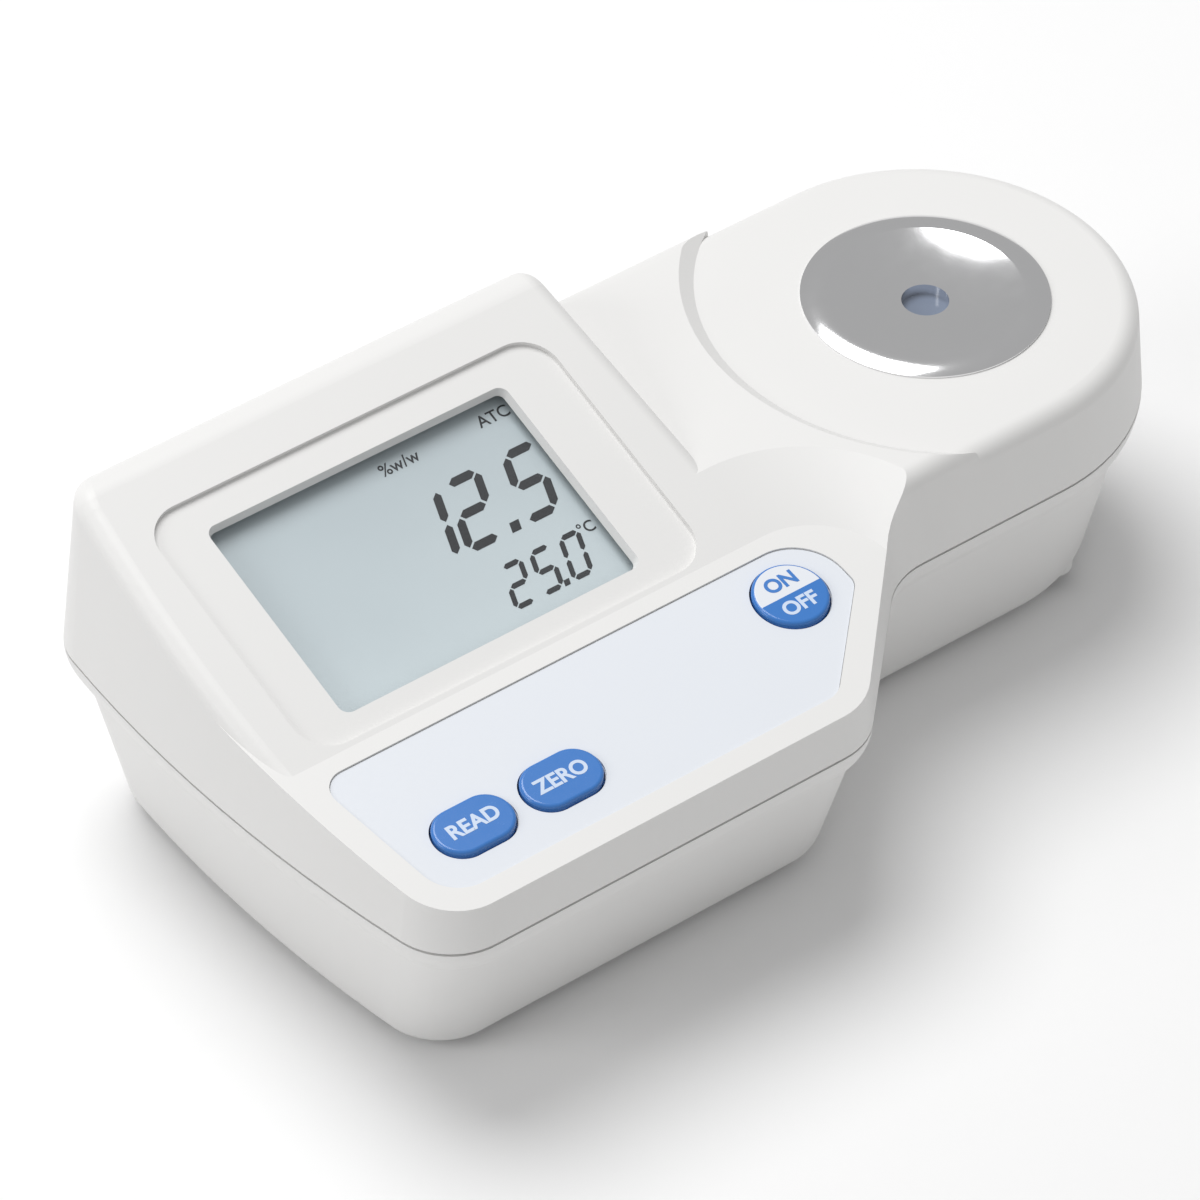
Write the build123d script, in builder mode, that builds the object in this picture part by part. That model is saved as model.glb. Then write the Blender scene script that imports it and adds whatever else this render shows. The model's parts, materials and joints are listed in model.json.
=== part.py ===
"""A bench-top digital refractometer: two moulded shells, a raised display hood with a keypad
below it, and a round stage that carries the steel sample ring over the measuring prism.

+X runs along the length towards the sample ring, -Y is the front with the keys, +Z is up.
The origin is the centre of the bounding box on the surface that the feet stand on.
All lengths are in millimetres, all angles in degrees.
"""
import os
from math import cos, radians, sin, sqrt, tan

from build123d import *

os.makedirs("parts", exist_ok=True)

# Overall size
length = 192.0
width = 102.0
height = 67.0

# Plan shape at the parting line
end_radius = 37.0
corner_radius = 11.5
side_bow_radius = 280.0
side_bow_y = 15.0
neck_corner_x = 23.0
neck_blend_radius = 14.0
front_corner_radius = 12.0

# Heights
foot_height = 1.5
parting_z = 35.5
parting_gap = 0.5
stage_z = 52.0
stage_step = 1.7
stage_step_radius = 42.0
stage_step_shift = 4.4

# Sloping faces
display_tilt = 17.8
keypad_tilt = 8.4
kink_y = -14.0
hood_x = 2.3
hood_side_draft = 9.0
scoop_floor_radius = 15.5
scoop_rim_radius = 26.0

# Mouldings
wall = 2.4
upper_draft = 5.5
edge_radius = 3.2
hood_back_radius = 6.0
ridge_overrun = 0.1
lip_height = 4.6
lip_inset = 1.4
crease_depth = 1.0
bottom_edge_radius = 4.0
lower_front_rise = 9.6
lower_side_rise = 6.0
lower_neck_rise = 6.2
lower_back_rise = 3.5
lower_end_rise = 4.5

# Display, in the plane of its face
frame_centre = (-46.3, 11.0)
frame_size = (78.2, 49.4)
frame_corner = 6.5
frame_depth = 0.9
view_centre = (-47.1, 10.4)
view_size = (58.7, 39.2)
view_corner = 2.2
view_bevel = 20.0
window_margin = 2.8
window_thickness = 1.5
lcd_margin = 1.4
lcd_gap = 0.3
lcd_thickness = 2.8
holder_wall = 2.2
holder_ledge = 1.8
holder_clearance = 0.1
board_gap = 2.0
board_thickness = 1.6
board_margin_x = 8.5
board_margin_y = 3.6
post_radius = 2.8
post_hole_radius = 1.2

# Keypad, in the plane of its face
keypad_left = -88.1
keypad_right = 9.1
keypad_back = -17.3
keypad_front = -46.8
keypad_left_slant = 4.1
keypad_right_slant = 17.0
keypad_corners = (4.0, 7.0, 5.0, 3.0, 9.0)
keypad_depth = 0.8
membrane_thickness = 0.5
membrane_clearance = 0.1
key_y = -37.3
read_x = -72.4
zero_x = -55.4
pill_size = (14.3, 9.2)
on_off_place = (-1.7, -26.8)
on_off_radius = 6.35
key_rise = 0.9
key_edge_radius = 0.6
key_travel = 0.5
key_clearance = 0.35
key_gap = 0.1
key_flange = 0.9
key_flange_thickness = 0.8
key_stem_radius = 2.0
key_stem_length = 0.8
switch_size = 6.0
switch_height = 3.5
plunger_radius = 1.75
plunger_height = 0.8
keypad_board_margin = 2.5
keypad_posts = ((-66.0, -22.0), (-20.0, -22.0), (-40.0, -40.5), (-12.0, -40.5))

# Sample ring, heights measured from the stage
ring_radius = 20.9
ring_edge = 0.35
ring_crest_radius = 16.6
ring_crest = 1.2
ring_dip = 0.75
ring_hole_radius = 4.0
ring_seat_radius = 17.6
ring_depth = 4.2
seat_clearance = 0.1
prism_drop = 2.8
prism_top = (14.0, 9.0)
prism_bottom = 6.0
prism_height = 9.0
prism_clearance = 0.3
seal_radius = 5.2
seal_section = 0.55

# Optics below the ring
block_half_length = 23.0
block_width = 30.0
block_floor = 22.0
beam_angle = 35.0
beam_length = 24.0
beam_radius = 3.2
lens_distance = 13.0
lens_thickness = 2.4
lens_bulge = 0.8
lamp_radius = 2.5
lamp_length = 6.0
optic_board = (15.0, 20.0)
sensor_size = (8.0, 18.0)
sensor_thickness = 3.0
optic_screw_radius = 13.5
optic_screw_seat = 40.0
optic_screw_grip = 3.0
temperature_radius = 1.5
temperature_length = 7.0
temperature_reach = 1.0

# Battery compartment
battery_x = -47.0
battery_y = 6.0
battery_shift = -3.0
battery_size = (48.5, 26.5, 17.5)
battery_corner = 2.0
terminal_radius = 3.0
terminal_height = 3.0
terminal_spacing = 12.7
snap_size = (5.0, 24.0, 14.0)
well_radius = 32.0
well_wall = 3.0
well_roof = 1.6
recess_depth = 2.0
cover_radius = 33.3
cover_clearance = 0.35
cover_setback = 0.2
cover_thickness = 1.3
cover_floor = 1.2
spigot_radius = 29.6
spigot_wall = 1.6
spigot_height = 5.0
lug_reach = 2.1
lug_height = 1.6
lug_angle = 24.0
lug_count = 3
ledge_height = 1.7
ledge_gap = 0.1
gap_angle = 30.0
cover_turn = 30.0
gasket_thickness = 0.45
slot_size = (18.0, 2.8)
slot_depth = 1.5
rib_thickness = 1.6
rib_length = 40.0

# Fasteners and feet
casing_screw_places = (
    (-79.0, -26.0), (-20.0, -31.0), (30.0, -6.0), (-80.0, 38.5), (12.0, 38.0), (70.0, -9.5), (70.0, 37.5)
)
boss_radius = 3.6
screw_radius = 1.4
screw_head_radius = 2.7
screw_head_height = 1.8
screw_clearance = 0.1
screw_seat = 10.0
screw_grip = 7.0
board_screw_radius = 1.1
board_screw_head_radius = 2.2
board_screw_head_height = 1.4
foot_places = ((-66.0, -31.0), (-8.0, -29.0), (-70.0, 37.5), (2.0, 36.5), (75.0, 2.0), (75.0, 26.0))
foot_radius = 4.5
foot_recess = 1.0

# Places that follow from the sizes above
left_x = -length / 2
right_x = length / 2
front_y = -width / 2
back_y = width / 2
stage_x = right_x - end_radius
stage_y = back_y - end_radius
neck_z = stage_z + stage_step
display_slope = tan(radians(display_tilt))
keypad_slope = tan(radians(keypad_tilt))
ridge_z = height - hood_back_radius
ridge_y = (
    back_y
    - (ridge_z - parting_z) * tan(radians(upper_draft))
    - hood_back_radius / cos(radians(upper_draft))
    + ridge_overrun
)
rim_z = parting_z - parting_gap
lip_z = rim_z - lip_height
kink_z = ridge_z + hood_back_radius / cos(radians(display_tilt)) - (ridge_y - kink_y) * display_slope


def display_height(y):
    """Height of the display face above the base at a distance y from the middle."""
    return kink_z + (y - kink_y) * display_slope


def keypad_height(y):
    """Height of the keypad face above the base at a distance y from the middle."""
    return kink_z + (y - kink_y) * keypad_slope


def casing_outline(z, front=0.0, back=0.0, side=0.0, neck=0.0, end=0.0):
    """Plan outline of the casing at height z, with each side moved in by its own amount."""
    radius = end_radius - end
    centre_x = stage_x
    y_back = back_y - back
    y_neck = stage_y - end_radius + neck
    y_front = front_y + front
    bow = side_bow_radius - side
    bow_x = left_x + side_bow_radius

    def bow_at(y):
        return bow_x - sqrt(bow**2 - (y - side_bow_y) ** 2)

    diagonal_top = (neck_corner_x - neck * tan(radians(22.5)), y_neck)
    diagonal_foot = (diagonal_top[0] - (y_neck - y_front), y_front)
    with BuildSketch(Plane.XY.offset(z)) as outline:
        with BuildLine():
            middle_y = (y_back + y_neck) / 2
            Polyline((bow_at(y_front), y_front), diagonal_foot, diagonal_top, (centre_x, y_neck))
            ThreePointArc((centre_x, y_neck), (centre_x + radius, middle_y), (centre_x, y_back))
            Line((centre_x, y_back), (bow_at(y_back), y_back))
            ThreePointArc(
                (bow_at(y_back), y_back), (bow_at(side_bow_y), side_bow_y), (bow_at(y_front), y_front)
            )
        make_face()

        def corner(x, y):
            return outline.vertices().sort_by_distance(Vector(x, y, 0))[0]

        fillet([corner(bow_at(y_front), y_front), corner(bow_at(y_back), y_back)], corner_radius)
        fillet(corner(*diagonal_top), neck_blend_radius)
        fillet(corner(*diagonal_foot), front_corner_radius)
    return outline.sketch


keypad_face = Plane(
    origin=(0, 0, keypad_height(0)),
    x_dir=(1, 0, 0),
    z_dir=(0, -sin(radians(keypad_tilt)), cos(radians(keypad_tilt))),
)
display_face = Plane(
    origin=(0, 0, display_height(0)),
    x_dir=(1, 0, 0),
    z_dir=(0, -sin(radians(display_tilt)), cos(radians(display_tilt))),
)


def scoop_plan(plane, left, back, radius):
    """Plan of the scooped corner on a plane: square to the front and left, round behind."""
    front = front_y - end_radius
    side = left + radius
    with BuildSketch(plane) as plan:
        with BuildLine():
            Polyline((left, back), (left, front), (side, front), (side, back - radius))
            RadiusArc((side, back - radius), (left, back), -radius)
        make_face()
    return plan.sketch


def upper_form(inset):
    """The upper casing's outside, moved in by inset on every side and still square at its edges."""
    top = 2 * height
    with BuildPart() as form:
        add(casing_outline(parting_z, front=inset, back=inset, side=inset, neck=inset, end=inset))
        extrude(amount=height - parting_z + 5, taper=upper_draft)
        # Everything above the display and keypad faces, left of the hood's right side
        side_x = hood_x - inset
        middle_tilt = radians((display_tilt + keypad_tilt) / 2)
        kink_shift = inset / cos(radians((display_tilt - keypad_tilt) / 2))
        kink = (kink_y + kink_shift * sin(middle_tilt), kink_z - kink_shift * cos(middle_tilt))
        radius = hood_back_radius - inset
        ridge_start = (
            ridge_y - radius * sin(radians(display_tilt)), ridge_z + radius * cos(radians(display_tilt))
        )
        ridge_middle = (ridge_y + radius * sin(radians(36)), ridge_z + radius * cos(radians(36)))
        ridge_end = (ridge_y + radius, ridge_z)
        with BuildSketch(Plane.YZ.offset(-length)) as faces:
            with BuildLine():
                Polyline((-width, kink[1] - (kink[0] + width) * keypad_slope), kink, ridge_start)
                ThreePointArc(ridge_start, ridge_middle, ridge_end)
                Polyline(
                    ridge_end, (width, ridge_z), (width, top), (-width, top),
                    (-width, kink[1] - (kink[0] + width) * keypad_slope),
                )
            make_face()
        extrude(amount=length + side_x, mode=Mode.SUBTRACT)
        # Everything above the neck, right of the hood, whose side leans by its draft
        lean = tan(radians(hood_side_draft))
        with BuildSketch(Plane.XZ.offset(-width)) as above_neck:
            with BuildLine():
                Polyline(
                    (side_x, neck_z - inset),
                    (length, neck_z - inset),
                    (length, top),
                    (side_x - (top - neck_z) * lean, top),
                    close=True,
                )
            make_face()
        extrude(amount=2 * width, mode=Mode.SUBTRACT)
        # The scooped corner that rises from the keypad face to the neck
        rim_y = kink_y + (neck_z - kink_z) / display_slope
        floor_y = kink_y / cos(radians(keypad_tilt))
        grow = 2 * inset
        scoop_floor = scoop_plan(
            keypad_face.offset(-inset), side_x, floor_y + inset, scoop_floor_radius + grow
        )
        scoop_rim = scoop_plan(
            Plane.XY.offset(neck_z - inset), side_x, rim_y + inset, scoop_rim_radius + grow
        )
        loft([scoop_floor, scoop_rim], ruled=True, mode=Mode.SUBTRACT)
    return form.part


def save(block, name):
    """Label a finished part and write it out."""
    block.part.label = name
    export_step(block.part, f"parts/{name}.step")


def plain_outline(z, inset):
    """The casing's plan outline moved in evenly."""
    return casing_outline(z, front=inset, back=inset, side=inset, neck=inset, end=inset)


def lower_outline(z, inset):
    """The outline of the drafted lower wall at height z, moved in by inset."""
    part_way = (lip_z - z) / (lip_z - foot_height)
    start = lip_inset + crease_depth + inset
    return casing_outline(
        z,
        front=start + part_way * lower_front_rise,
        back=start + part_way * lower_back_rise,
        side=start + part_way * lower_side_rise,
        neck=start + part_way * lower_neck_rise,
        end=start + part_way * lower_end_rise,
    )


def rounded_plate(plane, centre, size, corner, depth):
    """A round-cornered plate that reaches down from a plane."""
    with BuildPart() as plate:
        with BuildSketch(plane):
            with Locations(centre):
                RectangleRounded(*size, corner)
        extrude(amount=-depth)
    return plate.part


def grown(size, margin):
    """A pair of sizes with a margin added on every side."""
    return (size[0] + 2 * margin, size[1] + 2 * margin)


def keypad_plan(plane, margin):
    """The keypad's outline on a plane, grown by a margin."""
    points = (
        (keypad_left, keypad_back),
        (keypad_left + keypad_left_slant, keypad_front),
        (keypad_right - keypad_right_slant, keypad_front),
        (keypad_right, keypad_front + keypad_right_slant),
        (keypad_right, keypad_back),
    )
    with BuildSketch(plane) as plan:
        with BuildLine():
            Polyline(*points, close=True)
        make_face()
        for place, radius in zip(points, keypad_corners):
            fillet(plan.vertices().sort_by_distance(Vector(*place, 0))[0], radius)
        if margin:
            offset(amount=margin)
    return plan.sketch


def key_plan(plane, place, size, margin):
    """A key's outline on a plane, grown by a margin: a pill, or a disc if its size is square."""
    length_now, width_now = grown(size, margin)
    with BuildSketch(plane) as plan:
        with Locations(place):
            if size[0] > size[1]:
                SlotOverall(length_now, width_now)
            else:
                Circle(width_now / 2)
    return plan.sketch


on_off_size = (2 * on_off_radius, 2 * on_off_radius)
keys = (((read_x, key_y), pill_size), ((zero_x, key_y), pill_size), (on_off_place, on_off_size))

# Depths below the display face
window_size = grown(view_size, window_margin)
lcd_size = grown(view_size, lcd_margin)
lcd_depth = wall + window_thickness + lcd_gap
holder_depth = lcd_depth + lcd_thickness
main_board_depth = holder_depth + board_gap
holder_size = grown(lcd_size, holder_clearance + holder_wall)
main_board_size = (holder_size[0] + 2 * board_margin_x, holder_size[1] + 2 * board_margin_y)
post_x = holder_size[0] / 2 + post_radius + 1.5
post_y = holder_size[1] / 2 - post_radius - 2

# Depths below the keypad face
key_top_depth = keypad_depth - membrane_thickness - key_rise
flange_depth = wall + key_gap
stem_depth = flange_depth + key_flange_thickness + key_stem_length
plunger_depth = stem_depth + key_travel + key_gap
switch_depth = plunger_depth + plunger_height
keypad_board_depth = switch_depth + switch_height
bevel_run = (wall + 0.5 - frame_depth) * tan(radians(view_bevel))


def roof_height(x, y):
    """Height of the casing's top above a boss, short of the outside by part of the wall."""
    if x > stage_x:
        return stage_z - wall / 2
    if x > hood_x:
        return neck_z - wall / 2
    slope_height = display_height if y > kink_y else keypad_height
    return slope_height(y - boss_radius) - keypad_depth - wall / 4


# Upper casing
with BuildPart() as stage_form:
    add(plain_outline(parting_z, 0))
    extrude(amount=stage_z - parting_z, taper=upper_draft)
    fillet(stage_form.faces().sort_by(Axis.Z)[-1].edges(), edge_radius)
    with BuildSketch(Plane.XY.offset(parting_z)):
        with Locations((stage_x + stage_step_shift, stage_y)):
            Circle(stage_step_radius)
    extrude(amount=height, mode=Mode.INTERSECT)

with BuildPart() as bosses:
    for place in casing_screw_places:
        with BuildSketch(Plane.XY.offset(parting_z)):
            with Locations(place):
                Circle(boss_radius)
        extrude(amount=roof_height(*place) - parting_z)
    for corner_x in (-post_x, post_x):
        for corner_y in (-post_y, post_y):
            with BuildSketch(display_face.offset(-main_board_depth)):
                with Locations((frame_centre[0] + corner_x, view_centre[1] + corner_y)):
                    Circle(post_radius)
            extrude(amount=main_board_depth - wall / 2)
    with BuildSketch(keypad_face.offset(-keypad_board_depth)):
        with Locations(*keypad_posts):
            Circle(post_radius)
    extrude(amount=keypad_board_depth - keypad_depth - wall / 3)
    with BuildSketch(Plane.XY.offset(parting_z)):
        with Locations(*casing_screw_places):
            Circle(screw_radius + screw_clearance)
    extrude(amount=screw_grip + 1, mode=Mode.SUBTRACT)
    with BuildSketch(display_face.offset(-main_board_depth)):
        with Locations((frame_centre[0], view_centre[1])):
            with GridLocations(2 * post_x, 2 * post_y, 2, 2):
                Circle(post_hole_radius)
    extrude(amount=5.5, mode=Mode.SUBTRACT)
    with BuildSketch(keypad_face.offset(-keypad_board_depth)):
        with Locations(*keypad_posts):
            Circle(post_hole_radius)
    extrude(amount=5.0, mode=Mode.SUBTRACT)

with BuildPart() as cavity:
    add(upper_form(wall))
    with Locations((stage_x + stage_step_shift, stage_y, stage_z - wall)):
        Cylinder(
            stage_step_radius + 1, height, align=(Align.CENTER, Align.CENTER, Align.MIN), mode=Mode.SUBTRACT
        )
    for boss in bosses.solids():
        add(boss, mode=Mode.SUBTRACT)

with BuildPart() as upper_casing:
    add(upper_form(0.0))
    with BuildSketch(display_face.offset(-frame_depth)):
        with Locations(frame_centre):
            RectangleRounded(*frame_size, frame_corner)
    extrude(amount=frame_depth + 1, mode=Mode.SUBTRACT)
    with BuildSketch(display_face.offset(-wall - 0.5)):
        with Locations(view_centre):
            RectangleRounded(*grown(view_size, -bevel_run), view_corner / 2)
    extrude(amount=wall + 1, taper=-view_bevel, mode=Mode.SUBTRACT)
    add(keypad_plan(keypad_face.offset(-keypad_depth), 0))
    extrude(amount=keypad_depth + 1, mode=Mode.SUBTRACT)
    for place, size in keys:
        add(key_plan(keypad_face.offset(-wall - 1), place, size, key_clearance))
        extrude(amount=wall + 2, mode=Mode.SUBTRACT)

    def edge_near(x, y, z, shortest):
        long_edges = upper_casing.edges().filter_by(lambda e: e.length > shortest)
        return long_edges.sort_by(lambda e: (e.center() - Vector(x, y, z)).length)[0]

    hood_edge = edge_near(hood_x - 1.0, back_y * 0.4, height - 7, 30)
    stage_edge = edge_near(right_x, stage_y, neck_z, 50)
    ridge_edge = edge_near((left_x + hood_x) / 2, back_y, ridge_z + 1.6, 80)
    fillet([hood_edge, stage_edge, ridge_edge], edge_radius)
    with Locations((stage_x + stage_step_shift, stage_y, parting_z)):
        Cylinder(stage_step_radius, height, align=(Align.CENTER, Align.CENTER, Align.MIN), mode=Mode.SUBTRACT)
    with Locations((stage_x + stage_step_shift, stage_y, stage_z)):
        Cone(
            stage_step_radius, stage_step_radius + 4, 4 * stage_step / 2.5,
            align=(Align.CENTER, Align.CENTER, Align.MIN), mode=Mode.SUBTRACT,
        )
    add(stage_form.part)
    add(cavity.part, mode=Mode.SUBTRACT)
    with BuildSketch(Plane.XY.offset(stage_z - wall - 1)):
        with Locations((stage_x, stage_y)):
            Circle(ring_seat_radius + seat_clearance)
    extrude(amount=wall + 2, mode=Mode.SUBTRACT)
save(upper_casing, "upper_casing")

# Lower casing
lip_middle = (rim_z + lip_z) / 2
floor_z = foot_height + wall
well_place = (battery_x, battery_y)
well_top = foot_height + spigot_height + cover_thickness + cover_setback + 0.4 + battery_size[2] + 1.0
ledge_top = foot_height + recess_depth + 1.1 + ledge_height

with BuildPart() as lower_shell:
    add(lower_outline(lip_z, 0))
    add(lower_outline(foot_height, 0))
    loft(ruled=True)
    fillet(lower_shell.faces().sort_by(Axis.Z)[0].edges(), bottom_edge_radius)
    add(plain_outline(lip_z, lip_inset))
    add(plain_outline(lip_middle, lip_inset / 4))
    add(plain_outline(rim_z, 0))
    loft()
    add(lower_outline(lip_z, wall))
    add(lower_outline(floor_z, wall))
    loft(ruled=True, mode=Mode.SUBTRACT)
    add(lower_outline(lip_z, wall))
    extrude(amount=lip_height, mode=Mode.SUBTRACT)

with BuildPart() as lower_casing:
    add(lower_shell.part)
    with BuildSketch(Plane.XY.offset(foot_height)):
        with Locations(well_place):
            Circle(well_radius + well_wall)
    extrude(amount=well_top + well_roof - foot_height)
    with BuildSketch(Plane.XY.offset(floor_z - 0.5)):
        with Locations(*casing_screw_places):
            Circle(boss_radius)
    extrude(amount=rim_z - floor_z + 0.5)
    with BuildSketch(Plane.XY.offset(foot_height)):
        with Locations(*casing_screw_places):
            Circle(screw_head_radius + screw_clearance + 0.2)
    extrude(amount=screw_seat - foot_height, mode=Mode.SUBTRACT)
    with BuildSketch(Plane.XY.offset(foot_height)):
        with Locations(*casing_screw_places):
            Circle(screw_radius + screw_clearance)
    extrude(amount=height, mode=Mode.SUBTRACT)
    with BuildSketch(Plane.XY.offset(foot_height)):
        with Locations(*foot_places):
            Circle(foot_radius)
    extrude(amount=foot_recess, mode=Mode.SUBTRACT)
    with BuildSketch(Plane.XY.offset(foot_height)):
        with Locations(well_place):
            Circle(cover_radius + cover_clearance)
    extrude(amount=recess_depth, mode=Mode.SUBTRACT)
    with BuildSketch(Plane.XY.offset(foot_height)):
        with Locations(well_place):
            Circle(well_radius)
    extrude(amount=well_top - foot_height, mode=Mode.SUBTRACT)
    with BuildSketch(Plane.XY.offset(ledge_top)):
        with Locations(well_place):
            Circle(well_radius + 0.2)
            Circle(spigot_radius + cover_clearance, mode=Mode.SUBTRACT)
            with PolarLocations(0, lug_count, start_angle=-cover_turn):
                wedge = [(0, 0)] + [
                    (60 * cos(radians(a)), 60 * sin(radians(a))) for a in (-gap_angle / 2, gap_angle / 2)
                ]
                Polygon(*wedge, align=None, mode=Mode.SUBTRACT)
    extrude(amount=-ledge_height)
    with BuildSketch(Plane.XY.offset(well_top)):
        with Locations((battery_x + battery_shift, battery_y)):
            with GridLocations(1, battery_size[1] + rib_thickness + 0.4, 1, 2):
                Rectangle(rib_length, rib_thickness)
    extrude(amount=-battery_size[2] + 2)
save(lower_casing, "lower_casing")

# Seal on the parting line
with BuildPart() as casing_seal:
    add(plain_outline(rim_z, 0.9))
    extrude(amount=parting_gap)
    add(plain_outline(rim_z, 2.1))
    extrude(amount=parting_gap, mode=Mode.SUBTRACT)
save(casing_seal, "casing_seal")

# Display: clear window, glass, its holder and the board behind
with BuildPart() as display_window:
    add(rounded_plate(display_face.offset(-wall), view_centre, window_size, view_corner, window_thickness))
save(display_window, "display_window")

with BuildPart() as lcd_glass:
    add(rounded_plate(display_face.offset(-lcd_depth), view_centre, lcd_size, 0.5, lcd_thickness))
save(lcd_glass, "lcd_glass")

with BuildPart() as lcd_holder:
    top = wall + window_thickness
    add(rounded_plate(display_face.offset(-top), view_centre, holder_size, 2, main_board_depth - top))
    inside = grown(lcd_size, holder_clearance)
    add(
        rounded_plate(display_face.offset(-top), view_centre, inside, 0.6, holder_depth - top),
        mode=Mode.SUBTRACT,
    )
    opening = grown(lcd_size, -holder_ledge)
    add(rounded_plate(display_face.offset(-top), view_centre, opening, 1, 20), mode=Mode.SUBTRACT)
save(lcd_holder, "lcd_holder")

board_centre = (frame_centre[0], view_centre[1])
with BuildPart() as main_board:
    add(rounded_plate(display_face.offset(-main_board_depth), board_centre, main_board_size, 2, board_thickness))
    with BuildSketch(display_face.offset(-main_board_depth)):
        with Locations(board_centre):
            with GridLocations(2 * post_x, 2 * post_y, 2, 2):
                Circle(post_hole_radius)
    extrude(amount=-board_thickness, mode=Mode.SUBTRACT)
    with BuildSketch(Plane.XY):
        with Locations(*casing_screw_places):
            Circle(boss_radius + 0.6)
    extrude(amount=height, mode=Mode.SUBTRACT)
save(main_board, "main_board")

# Keypad: printed overlay, three keys, their switches and board
with BuildPart() as keypad_membrane:
    add(keypad_plan(keypad_face.offset(-keypad_depth), -membrane_clearance))
    extrude(amount=membrane_thickness)
    for place, size in keys:
        add(key_plan(keypad_face.offset(-keypad_depth - 1), place, size, key_clearance))
        extrude(amount=keypad_depth + 2, mode=Mode.SUBTRACT)
save(keypad_membrane, "keypad_membrane")


def key_solid(place, size):
    """A key: rounded cap, flange that stays under the casing, and the stem over its switch."""
    with BuildPart() as key:
        add(key_plan(keypad_face.offset(-flange_depth), place, size, 0))
        extrude(amount=flange_depth - key_top_depth)
        fillet(key.faces().sort_by(Axis.Z)[-1].edges(), key_edge_radius)
        add(key_plan(keypad_face.offset(-flange_depth), place, size, key_flange))
        extrude(amount=-key_flange_thickness)
        with BuildSketch(keypad_face.offset(-flange_depth)):
            with Locations(place):
                Circle(key_stem_radius)
        extrude(amount=flange_depth - stem_depth)
    return key.part


for name, (place, size) in zip(("read_key", "zero_key", "on_off_key"), keys):
    with BuildPart() as key_part:
        add(key_solid(place, size))
    save(key_part, name)

with BuildPart() as key_switches:
    for place, size in keys:
        with BuildSketch(keypad_face.offset(-switch_depth)):
            with Locations(place):
                RectangleRounded(switch_size, switch_size, 0.5)
        extrude(amount=-switch_height)
        with BuildSketch(keypad_face.offset(-switch_depth)):
            with Locations(place):
                Circle(plunger_radius)
        extrude(amount=plunger_height)
save(key_switches, "key_switches")

with BuildPart() as keypad_board:
    add(keypad_plan(keypad_face.offset(-keypad_board_depth), -keypad_board_margin))
    extrude(amount=-board_thickness)
    with BuildSketch(keypad_face.offset(-keypad_board_depth)):
        with Locations(*keypad_posts):
            Circle(post_hole_radius)
    extrude(amount=-board_thickness, mode=Mode.SUBTRACT)
    with BuildSketch(Plane.XY):
        with Locations(*casing_screw_places):
            Circle(boss_radius + 0.6)
    extrude(amount=height, mode=Mode.SUBTRACT)
save(keypad_board, "keypad_board")

# Sample ring, prism and its seal
stage_axis = Plane(origin=(stage_x, stage_y, stage_z), x_dir=(1, 0, 0), z_dir=(0, -1, 0))
block_top = stage_z - wall
ring_shoulder = (ring_radius + ring_crest_radius) / 2 + 0.6
dish_middle = (ring_crest_radius + ring_hole_radius) / 2
pocket_radius = 9.6
with BuildPart() as sample_ring:
    with BuildSketch(stage_axis):
        with BuildLine():
            Polyline((ring_seat_radius, 0), (ring_radius, 0), (ring_radius, ring_edge))
            ThreePointArc((ring_radius, ring_edge), (ring_shoulder, 0.98), (ring_crest_radius, ring_crest))
            ThreePointArc(
                (ring_crest_radius, ring_crest), (dish_middle, -0.12), (ring_hole_radius, -ring_dip)
            )
            Polyline(
                (ring_hole_radius, -ring_dip),
                (ring_hole_radius, -prism_drop),
                (pocket_radius, -prism_drop),
                (pocket_radius, -ring_depth),
                (ring_seat_radius, -ring_depth),
                (ring_seat_radius, 0),
            )
        make_face()
    revolve(axis=Axis((stage_x, stage_y, 0), (0, 0, 1)))
    with BuildSketch(Plane.XY.offset(stage_z - prism_drop)):
        with Locations((stage_x, stage_y)):
            Circle(seal_radius + seal_section + 0.1)
            Circle(seal_radius - seal_section - 0.1, mode=Mode.SUBTRACT)
    extrude(amount=2 * seal_section, mode=Mode.SUBTRACT)
    with BuildSketch(Plane.XY.offset(stage_z - ring_depth)):
        with Locations((stage_x, stage_y)):
            with PolarLocations(optic_screw_radius, 4, start_angle=45):
                Circle(screw_radius)
    extrude(amount=optic_screw_grip + 0.3, mode=Mode.SUBTRACT)
    with BuildSketch(Plane.XY.offset(stage_z - ring_depth)):
        with Locations((stage_x, stage_y)):
            with PolarLocations(optic_screw_radius, 1, start_angle=90):
                Circle(temperature_radius + 0.1)
    extrude(amount=temperature_reach + 0.1, mode=Mode.SUBTRACT)
save(sample_ring, "sample_ring")

with BuildPart() as prism:
    with BuildSketch(stage_axis.offset(prism_top[1] / 2)):
        Polygon(
            (-prism_top[0] / 2, -prism_drop),
            (-prism_bottom / 2, -prism_drop - prism_height),
            (prism_bottom / 2, -prism_drop - prism_height),
            (prism_top[0] / 2, -prism_drop),
            align=None,
        )
    extrude(amount=-prism_top[1])
save(prism, "prism")

with BuildPart() as prism_seal:
    with Locations((stage_x, stage_y, stage_z - prism_drop + seal_section)):
        Torus(seal_radius, seal_section)
save(prism_seal, "prism_seal")

# Optical block under the ring, with a slanting light path on each side of the prism
beam_x = cos(radians(beam_angle))
beam_z = sin(radians(beam_angle))
beam_height = stage_z - prism_drop - prism_height / 2


def beam_plane(side, distance):
    """The plane across the beam at a distance from the prism; side is -1 or 1."""
    return Plane(
        origin=(stage_x + side * beam_x * distance, stage_y, beam_height - beam_z * distance),
        x_dir=(0, 1, 0),
        z_dir=(side * beam_x, 0, -beam_z),
    )


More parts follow.
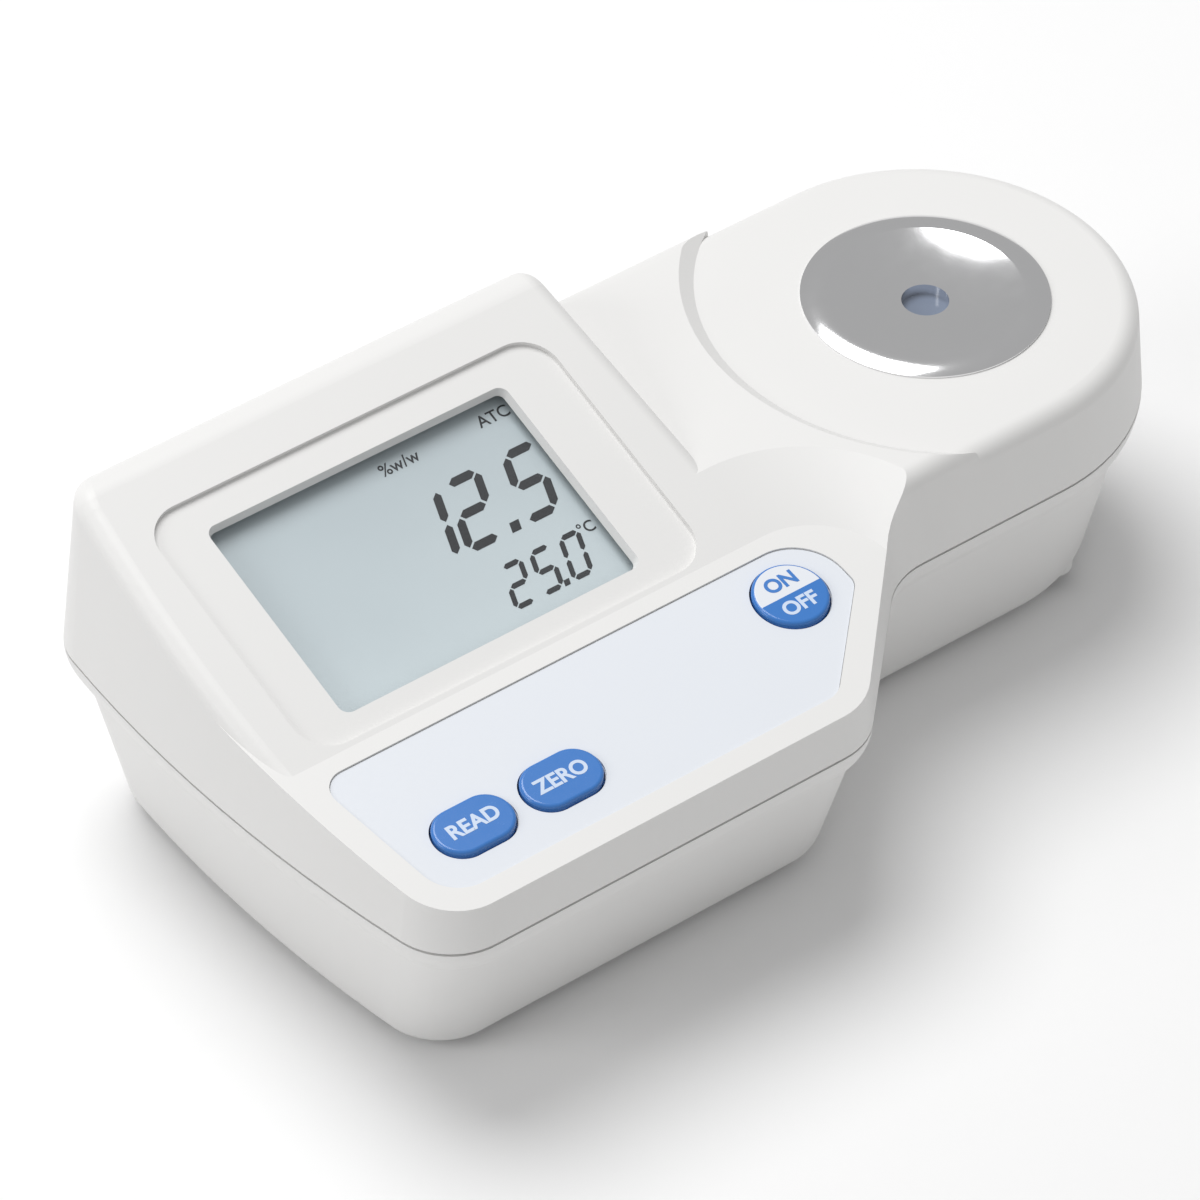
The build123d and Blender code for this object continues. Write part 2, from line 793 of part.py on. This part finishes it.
end_foot = beam_length / beam_x - (beam_height - block_floor) * tan(radians(beam_angle))
end_top = beam_height - (block_half_length - beam_length / beam_x) / tan(radians(beam_angle)) * -1
with BuildPart() as optical_block:
    with BuildSketch(stage_axis.offset(block_width / 2)):
        Polygon(
            (-block_half_length, block_top - stage_z),
            (-block_half_length, end_top - stage_z),
            (-end_foot, block_floor - stage_z),
            (end_foot, block_floor - stage_z),
            (block_half_length, end_top - stage_z),
            (block_half_length, block_top - stage_z),
            align=None,
        )
    extrude(amount=-block_width)
    with BuildSketch(Plane.XY.offset(stage_z - ring_depth - seat_clearance)):
        with Locations((stage_x, stage_y)):
            Circle(ring_seat_radius + 4 * seat_clearance)
    extrude(amount=ring_depth, mode=Mode.SUBTRACT)
    with BuildSketch(Plane.XY.offset(stage_z - prism_drop - prism_height)):
        with Locations((stage_x, stage_y)):
            Rectangle(*grown(prism_top, prism_clearance))
    extrude(amount=prism_height + 1, mode=Mode.SUBTRACT)
    for side in (-1, 1):
        with BuildSketch(beam_plane(side, 0)):
            Circle(beam_radius)
        extrude(amount=beam_length + 1, mode=Mode.SUBTRACT)
    with BuildSketch(beam_plane(1, beam_length)):
        Rectangle(*grown((sensor_size[1], sensor_size[0]), 0.2))
    extrude(amount=-sensor_thickness - 0.2, mode=Mode.SUBTRACT)
    with BuildSketch(Plane.XY.offset(block_floor)):
        with Locations((stage_x, stage_y)):
            with PolarLocations(optic_screw_radius, 4, start_angle=45):
                Circle(screw_head_radius + screw_clearance)
    extrude(amount=optic_screw_seat - block_floor, mode=Mode.SUBTRACT)
    with BuildSketch(Plane.XY.offset(block_floor)):
        with Locations((stage_x, stage_y)):
            with PolarLocations(optic_screw_radius, 4, start_angle=45):
                Circle(screw_radius + screw_clearance)
    extrude(amount=height, mode=Mode.SUBTRACT)
    with BuildSketch(Plane.XY.offset(stage_z - ring_depth + temperature_reach - temperature_length)):
        with Locations((stage_x, stage_y)):
            with PolarLocations(optic_screw_radius, 1, start_angle=90):
                Circle(temperature_radius + 0.1)
    extrude(amount=height, mode=Mode.SUBTRACT)
save(optical_block, "optical_block")

with BuildPart() as lens:
    with BuildSketch(beam_plane(-1, lens_distance)):
        Circle(beam_radius - 0.05)
    extrude(amount=lens_thickness)
    fillet(lens.faces().sort_by(Axis.Z)[0].edges(), lens_bulge)
save(lens, "lens")

with BuildPart() as lamp:
    with BuildSketch(beam_plane(-1, beam_length)):
        Circle(lamp_radius)
    extrude(amount=-lamp_length)
    fillet(lamp.faces().sort_by(Axis.Z)[-1].edges(), lamp_radius - 0.2)
save(lamp, "lamp")

with BuildPart() as lamp_board:
    with BuildSketch(beam_plane(-1, beam_length)):
        RectangleRounded(optic_board[1], optic_board[0], 1)
    extrude(amount=board_thickness)
save(lamp_board, "lamp_board")

with BuildPart() as light_sensor:
    with BuildSketch(beam_plane(1, beam_length)):
        Rectangle(sensor_size[1], sensor_size[0])
    extrude(amount=-sensor_thickness)
save(light_sensor, "light_sensor")

with BuildPart() as sensor_board:
    with BuildSketch(beam_plane(1, beam_length)):
        RectangleRounded(optic_board[1] + 4, optic_board[0], 1)
    extrude(amount=board_thickness)
save(sensor_board, "sensor_board")

with BuildPart() as temperature_sensor:
    with BuildSketch(Plane.XY.offset(stage_z - ring_depth + temperature_reach - temperature_length)):
        with Locations((stage_x, stage_y)):
            with PolarLocations(optic_screw_radius, 1, start_angle=90):
                Circle(temperature_radius)
    extrude(amount=temperature_length)
save(temperature_sensor, "temperature_sensor")

# Battery with its snap connector, and the cover with lugs, seal and coin slot
cover_bottom = foot_height + cover_setback
cover_top = cover_bottom + cover_thickness
battery_floor = cover_top + spigot_height + 0.4
battery_centre = (battery_x + battery_shift, battery_y)
battery_end = battery_centre[0] + battery_size[0] / 2
battery_middle = battery_floor + battery_size[2] / 2
snap_plane = Plane(origin=(battery_end, battery_y, battery_middle), x_dir=(0, 1, 0), z_dir=(1, 0, 0))
with BuildPart() as battery:
    with Locations((*battery_centre, battery_middle)):
        Box(*battery_size)
    fillet(battery.edges().filter_by(Axis.X), battery_corner)
    with BuildSketch(snap_plane):
        with GridLocations(terminal_spacing, 1, 2, 1):
            Circle(terminal_radius)
    extrude(amount=terminal_height)
save(battery, "battery")

with BuildPart() as battery_snap:
    with BuildSketch(snap_plane.offset(0.1)):
        RectangleRounded(snap_size[1], snap_size[2], 2)
    extrude(amount=snap_size[0] - 0.1)
    with BuildSketch(snap_plane):
        with GridLocations(terminal_spacing, 1, 2, 1):
            Circle(terminal_radius + 0.05)
    extrude(amount=terminal_height + 0.1, mode=Mode.SUBTRACT)
save(battery_snap, "battery_snap")

with BuildPart() as battery_cover:
    with BuildSketch(Plane.XY.offset(cover_bottom)):
        with Locations(well_place):
            Circle(cover_radius)
    extrude(amount=cover_thickness)
    fillet(battery_cover.edges().sort_by(Axis.Z)[0], 0.5)
    with BuildSketch(Plane.XY.offset(cover_top)):
        with Locations(well_place):
            Circle(spigot_radius)
    extrude(amount=spigot_height)
    with BuildSketch(Plane.XY.offset(cover_top + spigot_height)):
        with Locations(well_place):
            Circle(spigot_radius - spigot_wall)
    extrude(amount=cover_floor - spigot_height, mode=Mode.SUBTRACT)
    with BuildSketch(Plane.XY.offset(cover_top + spigot_height)):
        with Locations(well_place):
            Circle(spigot_radius + lug_reach)
            Circle(spigot_radius - spigot_wall, mode=Mode.SUBTRACT)
            with PolarLocations(0, lug_count):
                waste = [(0, 0)] + [
                    (45 * cos(radians(a)), 45 * sin(radians(a)))
                    for a in (lug_angle / 2, 60, 120 - lug_angle / 2)
                ]
                Polygon(*waste, align=None, mode=Mode.SUBTRACT)
    extrude(amount=-lug_height)
    with BuildSketch(Plane.XY.offset(cover_top + cover_floor)):
        with Locations(well_place):
            with GridLocations(1, 16, 1, 2):
                Rectangle(rib_length, rib_thickness)
    extrude(amount=spigot_height - cover_floor + 0.3)
    with BuildSketch(Plane.XY.offset(cover_bottom)):
        with Locations(well_place):
            SlotOverall(*slot_size)
    extrude(amount=slot_depth, mode=Mode.SUBTRACT)
save(battery_cover, "battery_cover")

with BuildPart() as cover_seal:
    with BuildSketch(Plane.XY.offset(cover_top)):
        with Locations(well_place):
            Circle(cover_radius - 0.3)
            Circle(well_radius + 0.1, mode=Mode.SUBTRACT)
    extrude(amount=gasket_thickness)
save(cover_seal, "cover_seal")

# Feet and screws
with BuildPart() as feet:
    with BuildSketch():
        with Locations(*foot_places):
            Circle(foot_radius - 0.1)
    extrude(amount=foot_height + foot_recess)
    fillet(feet.edges().group_by(Axis.Z)[0], 0.5)
save(feet, "feet")


def screws_at(plane, places, sizes):
    """Cross-headed screws that point up from a plane; sizes are shank and head radius, head, grip."""
    shank, head, head_height, grip = sizes
    with BuildPart() as screws:
        with BuildSketch(plane):
            with Locations(*places):
                Circle(head)
        extrude(amount=-head_height)
        with BuildSketch(plane):
            with Locations(*places):
                Circle(shank)
        extrude(amount=grip)
        with BuildSketch(plane.offset(-head_height)):
            with Locations(*places):
                Rectangle(1.3 * head, 0.22 * head)
                Rectangle(0.22 * head, 1.3 * head)
        extrude(amount=0.6 * head_height, mode=Mode.SUBTRACT)
    return screws.part


with BuildPart() as casing_screws:
    grip = parting_z + screw_grip - screw_seat
    add(
        screws_at(
            Plane.XY.offset(screw_seat),
            casing_screw_places,
            (screw_radius, screw_head_radius, screw_head_height, grip),
        )
    )
save(casing_screws, "casing_screws")

board_screw = (board_screw_radius, board_screw_head_radius, board_screw_head_height, board_thickness + 4)
main_board_posts = [
    (board_centre[0] + i * post_x, board_centre[1] + j * post_y) for i in (-1, 1) for j in (-1, 1)
]
with BuildPart() as board_screws:
    add(screws_at(display_face.offset(-main_board_depth - board_thickness), main_board_posts, board_screw))
    add(screws_at(keypad_face.offset(-keypad_board_depth - board_thickness), keypad_posts, board_screw))
save(board_screws, "board_screws")

optic_places = [
    (
        stage_x + optic_screw_radius * cos(radians(angle)),
        stage_y + optic_screw_radius * sin(radians(angle)),
    )
    for angle in (45, 135, 225, 315)
]
with BuildPart() as optic_screws:
    grip = stage_z - ring_depth + optic_screw_grip - optic_screw_seat
    add(
        screws_at(
            Plane.XY.offset(optic_screw_seat),
            optic_places,
            (screw_radius - 0.05, screw_head_radius, screw_head_height, grip),
        )
    )
save(optic_screws, "optic_screws")
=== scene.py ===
import json
import math

import bmesh
import bpy
from mathutils import Matrix, Vector


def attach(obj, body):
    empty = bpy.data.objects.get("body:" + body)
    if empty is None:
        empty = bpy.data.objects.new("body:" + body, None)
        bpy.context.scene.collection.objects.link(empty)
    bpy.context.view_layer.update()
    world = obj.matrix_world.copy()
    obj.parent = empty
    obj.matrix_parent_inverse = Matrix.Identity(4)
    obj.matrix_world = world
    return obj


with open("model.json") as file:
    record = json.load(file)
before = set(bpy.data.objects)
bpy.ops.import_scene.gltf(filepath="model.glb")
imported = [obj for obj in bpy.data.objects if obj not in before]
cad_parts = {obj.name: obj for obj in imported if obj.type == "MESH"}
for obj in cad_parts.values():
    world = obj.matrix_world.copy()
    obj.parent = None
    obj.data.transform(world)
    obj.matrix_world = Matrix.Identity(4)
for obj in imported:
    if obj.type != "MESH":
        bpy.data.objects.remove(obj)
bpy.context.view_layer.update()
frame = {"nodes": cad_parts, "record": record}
print("frame loaded")

mm = 0.001

# Tilts of the two sloping faces in degrees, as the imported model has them
faces = {"displayTilt": 17.8, "keypadTilt": 8.4}
displayTilt = math.radians(faces["displayTilt"])
keypadTilt = math.radians(faces["keypadTilt"])


# A socket that Python's operators work on
class Wire:
    def __init__(self, finish, socket):
        self.finish = finish
        self.socket = socket

    def combine(self, operation, other=None):
        values = [self] if other is None else [self, other]
        return self.finish.node("ShaderNodeMath", values, operation=operation)

    def __add__(self, other):
        return self.combine("ADD", other)

    __radd__ = __add__

    def __sub__(self, other):
        return self.combine("SUBTRACT", other)

    def __rsub__(self, other):
        return self.finish.node("ShaderNodeMath", [other, self], operation="SUBTRACT")

    def __mul__(self, other):
        return self.combine("MULTIPLY", other)

    __rmul__ = __mul__

    def __gt__(self, other):
        return self.combine("GREATER_THAN", other)

    def __lt__(self, other):
        return self.combine("LESS_THAN", other)


# A material under construction, with one method that makes its nodes
class Finish:
    def __init__(self, name):
        self.material = bpy.data.materials.new(name)
        self.material.use_nodes = True
        self.tree = self.material.node_tree
        self.shader = self.tree.nodes["Principled BSDF"]

    def node(self, kind, values=(), output=0, **settings):
        made = self.tree.nodes.new(kind)
        for key, value in settings.items():
            setattr(made, key, value)
        entries = values.items() if isinstance(values, dict) else enumerate(values)
        for key, value in entries:
            self.feed(made.inputs[key], value)
        return Wire(self, made.outputs[output])

    def feed(self, target, value):
        if isinstance(value, Wire):
            self.tree.links.new(value.socket, target)
        else:
            target.default_value = value

    def place(self):
        return self.node("ShaderNodeTexCoord", output="Object")

    def parts(self):
        place = self.place()
        return [self.node("ShaderNodeSeparateXYZ", [place], output=axis) for axis in "XYZ"]

    def noise(self, scale, detail=2.0):
        values = {"Vector": self.place(), "Scale": scale, "Detail": detail}
        return self.node("ShaderNodeTexNoise", values)

    def mix(self, factor, first, second):
        values = {0: factor, 6: first, 7: second}  # 6, 7 and output 2 are the colour sockets
        return self.node("ShaderNodeMix", values, output=2, data_type="RGBA")

    def bump(self, height, strength, distance):
        values = {"Height": height, "Strength": strength, "Distance": distance}
        return self.node("ShaderNodeBump", values)

    def set(self, **inputs):
        for key, value in inputs.items():
            self.feed(self.shader.inputs[key.replace("_", " ")], value)
        return self.material


def shade(color, factor=1.0):
    return tuple(min(1.0, part * factor) for part in color) + (1.0,)


# What the finishes share: mottling, depth of the grain, and smears on clear pieces
surface = {
    "mottleScale": 45.0,
    "mottleDetail": 3.0,
    "grainRoughness": 0.08,
    "grainDepth": 0.00002,
    "smearScale": 60.0,
    "smearDetail": 4.0,
    "smearRoughness": 0.03,
    "smearCover": 0.04,
    "smearRelief": 0.05,
    "smearDepth": 0.00001,
}


def grained(name, color, roughness, grain, relief, spread=0.03, metallic=0.0, coat=0.0):
    finish = Finish(name)
    fine = finish.noise(grain)
    broad = finish.noise(surface["mottleScale"], surface["mottleDetail"])
    tone = finish.mix(broad, shade(color, 1 - spread), shade(color, 1 + spread))
    return finish.set(
        Base_Color=tone,
        Roughness=fine * surface["grainRoughness"] + roughness,
        Metallic=metallic,
        Coat_Weight=coat,
        Normal=finish.bump(fine, relief, surface["grainDepth"]),
    )


def clear(name, color, roughness, alpha):
    finish = Finish(name)
    smear = finish.noise(surface["smearScale"], surface["smearDetail"])
    return finish.set(
        Base_Color=shade(color),
        Roughness=smear * surface["smearRoughness"] + roughness,
        Alpha=smear * surface["smearCover"] + alpha,
        Normal=finish.bump(smear, surface["smearRelief"], surface["smearDepth"]),
    )


# Distance up a tilted face from its centre
def upSlope(along, up, centre, tilt):
    offset = centre[1] * math.cos(tilt) + centre[2] * math.sin(tilt)
    return along * math.cos(tilt) + up * math.sin(tilt) - offset


# The key in two colours, the darker one below its middle and on its rim
splitLook = {
    "radius": 6.3 * mm,
    "rim": 0.45 * mm,
    "grain": 900.0,
    "relief": 0.04,
    "roughness": 0.2,
    "roughnessSpread": 0.05,
}


def splitKey(name, pale, dark, centre, tilt):
    finish = Finish(name)
    across, along, up = finish.parts()
    local = upSlope(along, up, centre, tilt)
    side = across - centre[0]
    reach = (local * local + side * side).combine("SQRT")
    lower = local < 0.0
    outline = reach > splitLook["radius"] - splitLook["rim"]
    covered = lower.combine("MAXIMUM", outline)
    grain = finish.noise(splitLook["grain"])
    return finish.set(
        Base_Color=finish.mix(covered, shade(pale), shade(dark)),
        Roughness=grain * splitLook["roughnessSpread"] + splitLook["roughness"],
        Normal=finish.bump(grain, splitLook["relief"], surface["grainDepth"]),
    )


# The display's glass with painted shade: its colour darkens towards its upper edge, where the bezel's shadow
# falls
screenLook = {
    # top is the painted shade colour under the bezel's shadow, bottom the lighter unshaded glass
    "top": (0.50, 0.57, 0.60),
    "bottom": (0.62, 0.70, 0.73),
    "span": 0.042,
    "haze": 1800.0,
    "relief": 0.03,
    "roughness": 0.35,
    "roughnessSpread": 0.1,
}


def paintedShadeGlass(name, centre, tilt):
    finish = Finish(name)
    along, up = finish.parts()[1:]
    local = upSlope(along, up, centre, tilt) * (1 / screenLook["span"]) + 0.5
    haze = finish.noise(screenLook["haze"])
    return finish.set(
        # Painted shade: the colour blends from the lighter bottom to the darker top
        Base_Color=finish.mix(local, shade(screenLook["bottom"]), shade(screenLook["top"])),
        Roughness=haze * screenLook["roughnessSpread"] + screenLook["roughness"],
        Normal=finish.bump(haze, screenLook["relief"], surface["smearDepth"]),
    )


# The place of a piece's uppermost face on a tilted plane: origin at its middle, Z out of it
def faceOf(node, tilt):
    normal = Vector((0, -math.sin(tilt), math.cos(tilt)))
    corners = [vertex.co for vertex in frame["nodes"][node].data.vertices]
    level = max(corner.dot(normal) for corner in corners)
    rim = [corner for corner in corners if corner.dot(normal) > level - 0.01 * mm]
    slope = Vector((0, math.cos(tilt), math.sin(tilt)))
    middleX = (min(c.x for c in rim) + max(c.x for c in rim)) / 2
    middleY = (min(c.dot(slope) for c in rim) + max(c.dot(slope) for c in rim)) / 2
    centre = Vector((middleX, 0, 0)) + slope * middleY + normal * level
    return Matrix.Translation(centre) @ Matrix.Rotation(tilt, 4, "X")


def finished(mesh, name, material, body):
    piece = bpy.data.objects.new(name, mesh)
    bpy.context.scene.collection.objects.link(piece)
    piece.data.materials.clear()
    piece.data.materials.append(material)
    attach(piece, body)


fontFactor = 1.4  # font size for one unit of the capitals' height, about


def textMesh(name, words, height, matrix, depth, weight, align="CENTER"):
    curve = bpy.data.curves.new(name, "FONT")
    curve.body = words
    curve.size = height * fontFactor
    curve.align_x = align
    curve.align_y = "CENTER" if align == "CENTER" else "BOTTOM_BASELINE"
    curve.extrude = depth / 2
    curve.offset = weight
    holder = bpy.data.objects.new(name, curve)
    bpy.context.scene.collection.objects.link(holder)
    bpy.context.view_layer.update()
    evaluated = holder.evaluated_get(bpy.context.evaluated_depsgraph_get())
    mesh = bpy.data.meshes.new_from_object(evaluated)
    mesh.transform(matrix)
    bpy.data.objects.remove(holder)
    return mesh


# Figures and notes in millimetres on the display's glass; stroke and gap are shares of a width,
# the dot is measured in strokes
readout = {
    "centre": (-47.1, 10.4),
    "lift": 0.03 * mm,
    "thickness": 0.01,
    "slant": 0.32,
    "stroke": 0.22,
    "gap": 0.04,
    "dot": 1.15,
    "bigFigures": {
        "text": "12.5", "x": (-48.2, -40.1, -29.4, -28.6),
        "y": 7.2, "width": 7.2, "height": 13.4,
    },
    "smallFigures": {
        "text": "25.0", "x": (-39.5, -33.9, -28.5, -28.0),
        "y": -5.2, "width": 4.3, "height": 8.2,
    },
    "noteFactor": 0.8,
    "noteWeight": 0.00003,
    "notes": (
        {"text": "°C", "x": -21.6, "y": 1.4, "height": 2.6},
        {"text": "ATC", "x": -24.0, "y": 26.2, "height": 2.8},
        {"text": "%w/w", "x": -43.6, "y": 26.0, "height": 2.8},
    ),
}

# Lit segments of each figure, lettered clockwise from the top, with g across the middle
segmentsOf = {"0": "abcdef", "1": "bc", "2": "abged", "5": "afgcd"}


def segmentShapes(width, height):
    half = height / 2
    edge = readout["stroke"] * width / 2
    gap = readout["gap"] * width

    def level(y):
        left, right = gap + edge, width - gap - edge
        return (
            (left, y), (left + edge, y + edge), (right - edge, y + edge),
            (right, y), (right - edge, y - edge), (left + edge, y - edge),
        )

    def upright(x, low):
        bottom, top = low + gap + edge, low + half - gap
        return (
            (x, bottom), (x + edge, bottom + edge), (x + edge, top - edge),
            (x, top), (x - edge, top - edge), (x - edge, bottom + edge),
        )

    left, right = edge, width - edge
    return {
        "a": level(height - edge),
        "b": upright(right, half - edge),
        "c": upright(right, 0),
        "d": level(edge),
        "e": upright(left, 0),
        "f": upright(left, half - edge),
        "g": level(half),
    }


def figuresMesh(name, figures, matrix):
    form = bmesh.new()

    def polygon(points, startX):
        corners = []
        for x, y in points:
            slantedX = startX + x + y * readout["slant"]
            place = Vector((slantedX * mm, (figures["y"] + y) * mm, 0))
            corners.append(form.verts.new(matrix @ place))
        form.faces.new(corners)

    width = figures["width"]
    shapes = segmentShapes(width, figures["height"])
    for figure, startX in zip(figures["text"], figures["x"]):
        if figure == ".":
            dot = readout["stroke"] * width * readout["dot"]
            polygon(((0, 0), (0, dot), (-dot, dot), (-dot, 0)), startX)
            continue
        for segment in segmentsOf[figure]:
            polygon(shapes[segment], startX)
    bmesh.ops.recalc_face_normals(form, faces=form.faces)
    thick = bmesh.ops.extrude_face_region(form, geom=form.faces[:])
    raised = [item for item in thick["geom"] if isinstance(item, bmesh.types.BMVert)]
    normal = matrix.to_3x3() @ Vector((0, 0, 1))
    bmesh.ops.translate(form, verts=raised, vec=normal * readout["thickness"] * mm)
    bmesh.ops.recalc_face_normals(form, faces=form.faces)
    mesh = bpy.data.meshes.new(name)
    form.to_mesh(mesh)
    form.free()
    return mesh


screenFace = faceOf("lcd_glass", displayTilt)
keyFaces = {node: faceOf(node, keypadTilt) for node in ("read_key", "zero_key", "on_off_key")}

# Colours that more than one finish shares
blue = (0.045, 0.20, 0.58)
keypadWhite = (0.80, 0.83, 0.88)

# The finish of each material slot
finishes = {
    "casing_grey": grained(
        "casingWhite", (0.80, 0.795, 0.785), roughness=0.42, grain=1500.0, relief=0.10, spread=0.006
    ),
    "seal_rubber": grained(
        "sealRubber", (0.30, 0.29, 0.28), roughness=0.7, grain=1200.0, relief=0.2
    ),
    "window_clear": clear("windowClear", (0.45, 0.5, 0.53), roughness=0.02, alpha=0.01),
    # The screen's colour carries painted shade from the bezel, darker towards its top
    "lcd_face": paintedShadeGlass("screenGlassPaintedShade", screenFace.translation, displayTilt),
    "inner_plastic": grained(
        "innerPlastic", (0.75, 0.75, 0.72), roughness=0.5, grain=900.0, relief=0.1
    ),
    "board_green": grained(
        "boardGreen", (0.03, 0.16, 0.07), roughness=0.3, grain=500.0, relief=0.15, spread=0.12
    ),
    "keypad_gloss": grained(
        "keypadGloss", keypadWhite, roughness=0.12, grain=900.0, relief=0.03, spread=0.006, coat=0.5
    ),
    "key_blue": grained(
        "keyBlue", blue, roughness=0.22, grain=900.0, relief=0.04, spread=0.03, coat=0.3
    ),
    "key_white": splitKey(
        "keySplit", keypadWhite, blue, keyFaces["on_off_key"].translation, keypadTilt
    ),
    "switch_black": grained(
        "switchBlack", (0.02, 0.02, 0.022), roughness=0.4, grain=900.0, relief=0.1
    ),
    "ring_steel": grained(
        "ringSteel", (0.88, 0.88, 0.89), roughness=0.09, grain=260.0, relief=0.015, spread=0.01, metallic=1.0
    ),
    "prism_glass": grained(
        "prismGlass", (0.20, 0.24, 0.32), roughness=0.06, grain=300.0, relief=0.02, coat=0.6
    ),
    "inner_black": grained(
        "innerBlack", (0.02, 0.02, 0.022), roughness=0.5, grain=900.0, relief=0.15
    ),
    "lens_glass": clear("lensGlass", (0.95, 0.96, 0.97), roughness=0.03, alpha=0.3),
    "lamp_clear": clear("lampClear", (0.93, 0.90, 0.78), roughness=0.08, alpha=0.6),
    "sensor_black": grained(
        "sensorBlack", (0.03, 0.03, 0.04), roughness=0.15, grain=600.0, relief=0.05, coat=0.5
    ),
    "probe_steel": grained(
        "probeSteel", (0.55, 0.55, 0.57), roughness=0.3, grain=1500.0, relief=0.1, metallic=1.0
    ),
    "battery_case": grained(
        "batteryCase", (0.10, 0.11, 0.13), roughness=0.3, grain=700.0, relief=0.06, coat=0.3
    ),
    "foot_rubber": grained(
        "footRubber", (0.03, 0.03, 0.03), roughness=0.75, grain=1100.0, relief=0.3, spread=0.1
    ),
    "screw_steel": grained(
        "screwSteel", (0.55, 0.55, 0.57), roughness=0.28, grain=1300.0, relief=0.1, metallic=1.0
    ),
}

# The finishes of the print
prints = {
    "legendPale": grained("legendPale", (0.62, 0.72, 0.88), roughness=0.3, grain=900.0, relief=0.03),
    "legendBlue": grained("legendBlue", blue, roughness=0.3, grain=900.0, relief=0.03),
    "figureBlack": grained("figureBlack", (0.012, 0.012, 0.015), roughness=0.5, grain=900.0, relief=0.02),
}

slots = {entry["node"]: entry["material_slot"] for entry in frame["record"]["subparts"]}
for node, piece in frame["nodes"].items():
    piece.data.materials.clear()
    piece.data.materials.append(finishes[slots[node]])
print("materials made")

legendPrint = {"lift": 0.02 * mm, "depth": 0.03 * mm, "weight": 0.00012}

# Legends on the keys: text, key, place from its middle and capitals' height in millimetres, finish
legends = (
    {"text": "READ", "node": "read_key", "offset": (0, 0), "height": 2.7, "finish": "legendPale"},
    {"text": "ZERO", "node": "zero_key", "offset": (0, 0), "height": 2.7, "finish": "legendPale"},
    {"text": "ON", "node": "on_off_key", "offset": (0, 2.6), "height": 2.7, "finish": "legendBlue"},
    {"text": "OFF", "node": "on_off_key", "offset": (0, -2.6), "height": 2.7, "finish": "legendPale"},
)

bodies = frame["record"]["behaviour"]["bodies"]
bodyOf = {node: body for body, nodes in bodies.items() for node in nodes}
for legend in legends:
    name = "legend" + legend["text"].title()
    across, along = legend["offset"]
    lift = Matrix.Translation((across * mm, along * mm, legendPrint["lift"]))
    matrix = keyFaces[legend["node"]] @ lift
    height = legend["height"] * mm
    mesh = textMesh(
        name, legend["text"], height, matrix, legendPrint["depth"], legendPrint["weight"]
    )
    finished(mesh, name, prints[legend["finish"]], bodyOf[legend["node"]])
print("legends made")

across, along = readout["centre"]
screen = screenFace @ Matrix.Translation((-across * mm, -along * mm, readout["lift"]))
for name in ("bigFigures", "smallFigures"):
    finished(figuresMesh(name, readout[name], screen), name, prints["figureBlack"], "casing")
for count, note in enumerate(readout["notes"]):
    name = "note%d" % count
    matrix = screen @ Matrix.Translation((note["x"] * mm, note["y"] * mm, 0))
    height = note["height"] * mm * readout["noteFactor"]
    depth = readout["thickness"] * mm
    mesh = textMesh(name, note["text"], height, matrix, depth, readout["noteWeight"], "LEFT")
    finished(mesh, name, prints["figureBlack"], "casing")
print("readout made")


# Floor's tone and half-width, strength of the surroundings, and lamps aimed at the target
studio = {
    "floor": 0.93,
    "floorReach": 6.0,
    "world": 0.42,
    "target": (0, 0, 0.03),
    "lamps": (
        {"name": "topLamp", "place": (-0.05, 0.45, 1.2), "size": 0.9, "watts": 11.0},
        {"name": "leftLamp", "place": (-1.2, 0.25, 0.75), "size": 0.6, "watts": 3.2},
    ),
}


def studioFloor():
    form = bmesh.new()
    bmesh.ops.create_grid(form, x_segments=1, y_segments=1, size=studio["floorReach"])
    mesh = bpy.data.meshes.new("floor")
    form.to_mesh(mesh)
    form.free()
    piece = bpy.data.objects.new("floor", mesh)
    bpy.context.scene.collection.objects.link(piece)
    tone = studio["floor"]
    look = {"roughness": 0.9, "grain": 40.0, "relief": 0.0, "spread": 0.003}
    piece.data.materials.append(grained("floorPale", (tone, tone, tone), **look))
    return piece


def lamp(entry):
    light = bpy.data.lights.new(entry["name"], "AREA")
    light.shape = "DISK"
    light.size = entry["size"]
    light.energy = entry["watts"]
    holder = bpy.data.objects.new(entry["name"], light)
    bpy.context.scene.collection.objects.link(holder)
    place = Vector(entry["place"])
    holder.location = place
    aim = Vector(studio["target"]) - place
    holder.rotation_euler = aim.to_track_quat("-Z", "Y").to_euler()


floor = studioFloor()
for entry in studio["lamps"]:
    lamp(entry)
world = bpy.data.worlds.new("studioWorld")
bpy.context.scene.world = world
world.use_nodes = True
backdrop = world.node_tree.nodes["Background"]
backdrop.inputs["Color"].default_value = (1.0, 1.0, 1.0, 1.0)
backdrop.inputs["Strength"].default_value = studio["world"]

# Camera: place in metres, angles in degrees, lens and sensor in millimetres
view = {
    "place": (-0.52606, -0.64442, 0.78724),
    "azimuth": -38.16,
    "elevation": 42.47,
    "roll": 0.95,
    "lens": 206.8,
    "sensor": 36.0,
}
azimuth = math.radians(view["azimuth"])
elevation = math.radians(view["elevation"])
roll = math.radians(view["roll"])
level = math.cos(elevation)
back = Vector((math.sin(azimuth) * level, -math.cos(azimuth) * level, math.sin(elevation)))
right = Vector((math.cos(azimuth), math.sin(azimuth), 0))
up = back.cross(right)
turnedRight = right * math.cos(roll) + up * math.sin(roll)
turnedUp = up * math.cos(roll) - right * math.sin(roll)
camera = bpy.data.objects.new("camera", bpy.data.cameras.new("camera"))
bpy.context.scene.collection.objects.link(camera)
camera.data.sensor_width = view["sensor"]
camera.data.lens = view["lens"]
camera.matrix_world = Matrix.Translation(view["place"]) @ Matrix(
    (turnedRight, turnedUp, back)
).transposed().to_4x4()
bpy.context.scene.camera = camera
bpy.context.scene.view_settings.view_transform = "Standard"
print("studio made")
